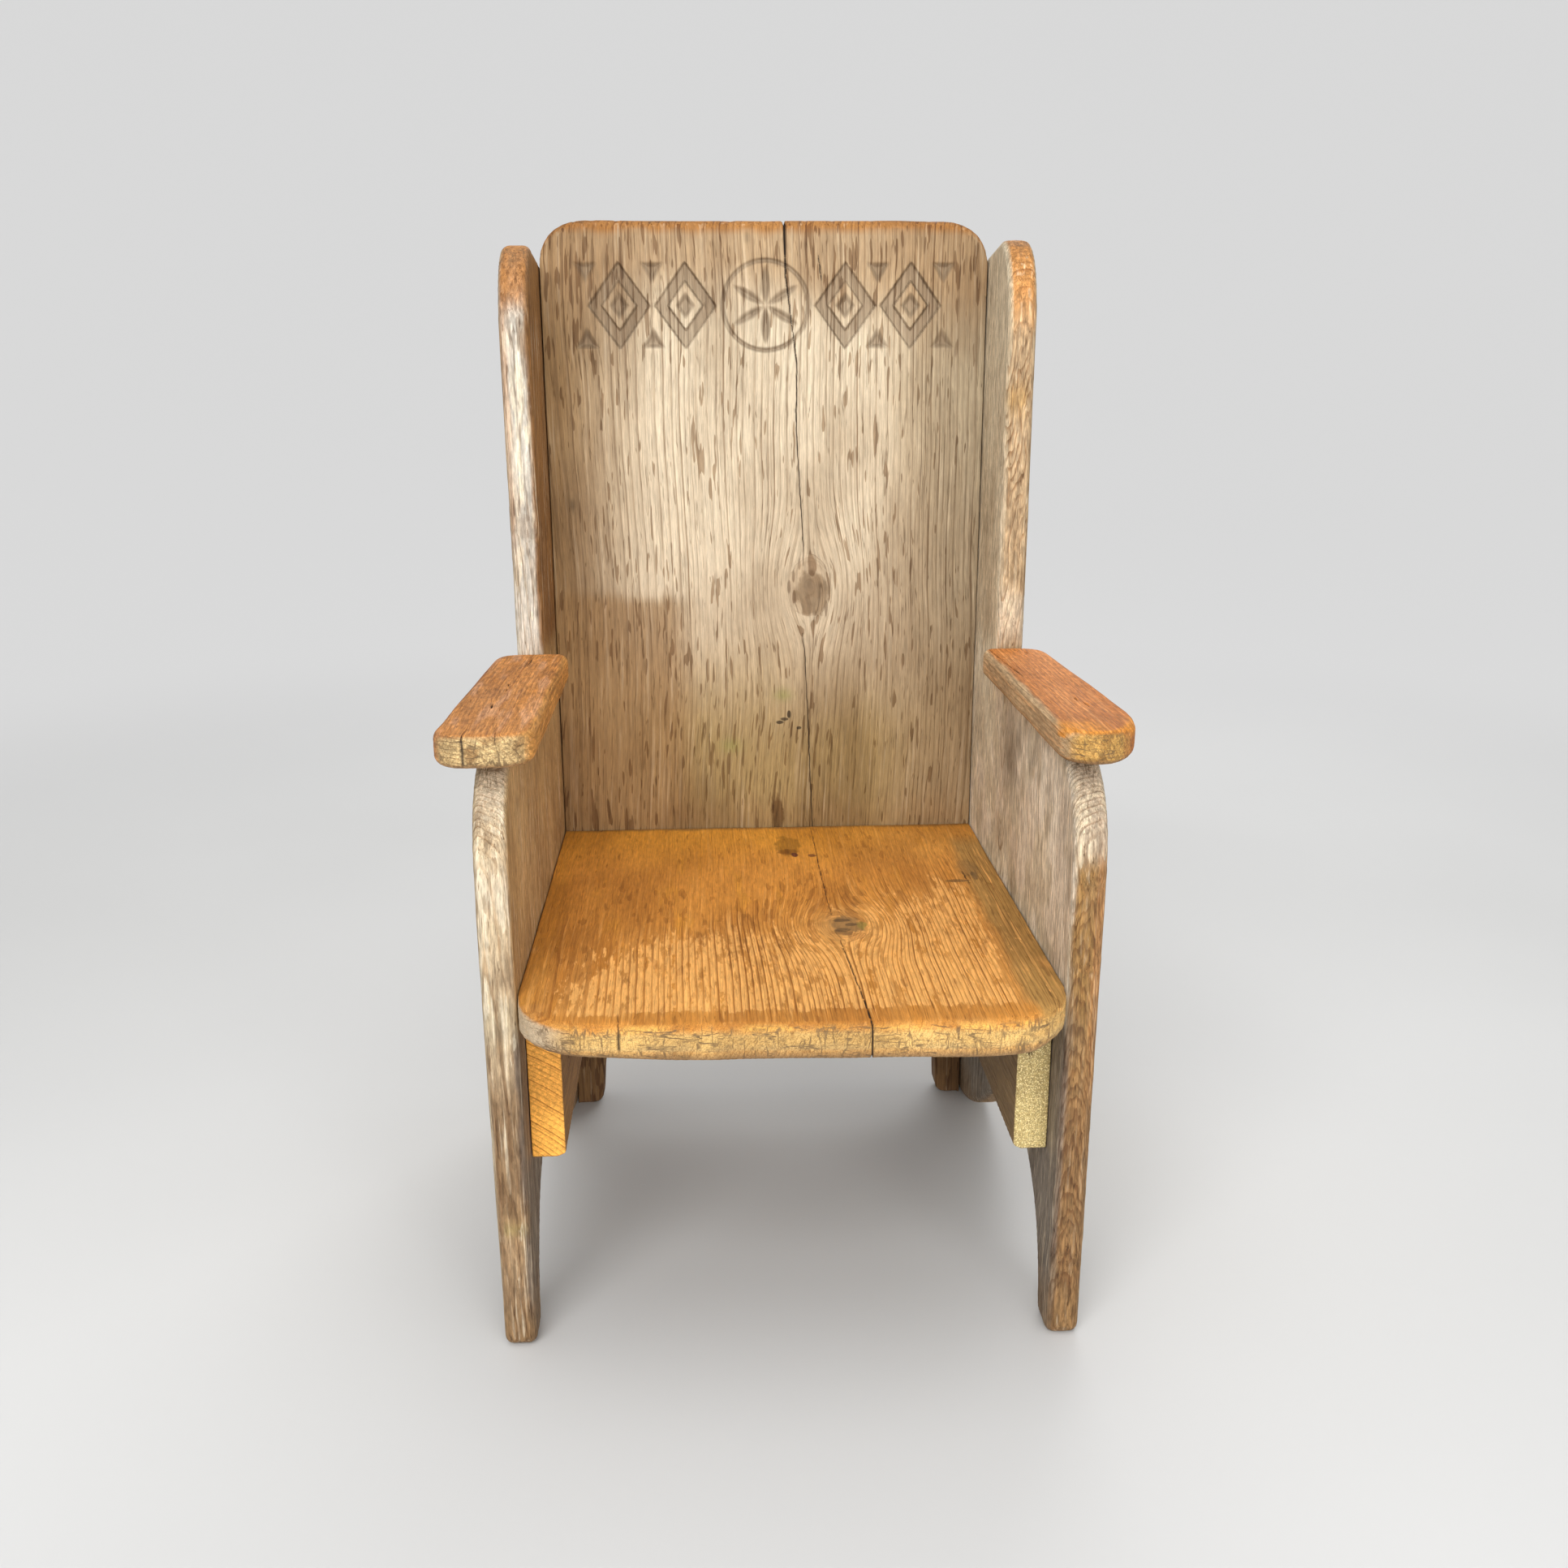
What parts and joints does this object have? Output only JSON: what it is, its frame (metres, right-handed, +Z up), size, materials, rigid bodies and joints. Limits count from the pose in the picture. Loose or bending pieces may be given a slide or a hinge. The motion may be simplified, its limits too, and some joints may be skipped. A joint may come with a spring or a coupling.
{
  "type": "child's armchair",
  "caption": "Rustic high-backed child's armchair of thick weathered pine boards, with winged sides, flat arms, a plank seat on bearers and arched feet.",
  "frame": {"origin": "on the floor, in the middle of the overall width and depth", "axes": "+Z up, the chair faces -Y, and +X is to the right for someone who looks at its front; left and right in the names are seen from the front too"},
  "size_m": [0.412, 0.392, 0.709],
  "materials": {
    "back_wood": "grey-tan weathered pine with open upright grain",
    "left_side_wood": "grey-tan weathered pine, pale on the worn edges",
    "right_side_wood": "grey-brown weathered pine, brown on the worn edges",
    "seat_wood": "worn orange-tan pine, pale end grain at the front",
    "left_arm_wood": "handled orange-brown pine, pale cracked end grain",
    "right_arm_wood": "handled orange-brown pine, pale rough end grain",
    "left_bearer_wood": "newer yellow pine, planed",
    "right_bearer_wood": "pale rough-sawn pine",
    "nail_iron": "dull dark iron"
  },
  "bodies": {
    "root": {"back_panel": "back_wood", "left_side_panel": "left_side_wood", "right_side_panel": "right_side_wood", "seat_board": "seat_wood", "left_armrest": "left_arm_wood", "right_armrest": "right_arm_wood", "left_seat_bearer": "left_bearer_wood", "right_seat_bearer": "right_bearer_wood", "left_back_nail_1": "nail_iron", "left_back_nail_2": "nail_iron", "left_back_nail_3": "nail_iron", "left_back_nail_4": "nail_iron", "left_back_nail_5": "nail_iron", "left_seat_nail_1": "nail_iron", "left_seat_nail_2": "nail_iron", "left_seat_nail_3": "nail_iron", "left_bearer_nail_1": "nail_iron", "left_bearer_nail_2": "nail_iron", "left_bearer_nail_3": "nail_iron", "left_arm_nail_1": "nail_iron", "left_arm_nail_2": "nail_iron", "right_back_nail_1": "nail_iron", "right_back_nail_2": "nail_iron", "right_back_nail_3": "nail_iron", "right_back_nail_4": "nail_iron", "right_back_nail_5": "nail_iron", "right_seat_nail_1": "nail_iron", "right_seat_nail_2": "nail_iron", "right_seat_nail_3": "nail_iron", "right_bearer_nail_1": "nail_iron", "right_bearer_nail_2": "nail_iron", "right_bearer_nail_3": "nail_iron", "right_arm_nail_1": "nail_iron", "right_arm_nail_2": "nail_iron", "back_seat_nail_1": "nail_iron", "back_seat_nail_2": "nail_iron", "back_seat_nail_3": "nail_iron"}
  },
  "joints": []
}
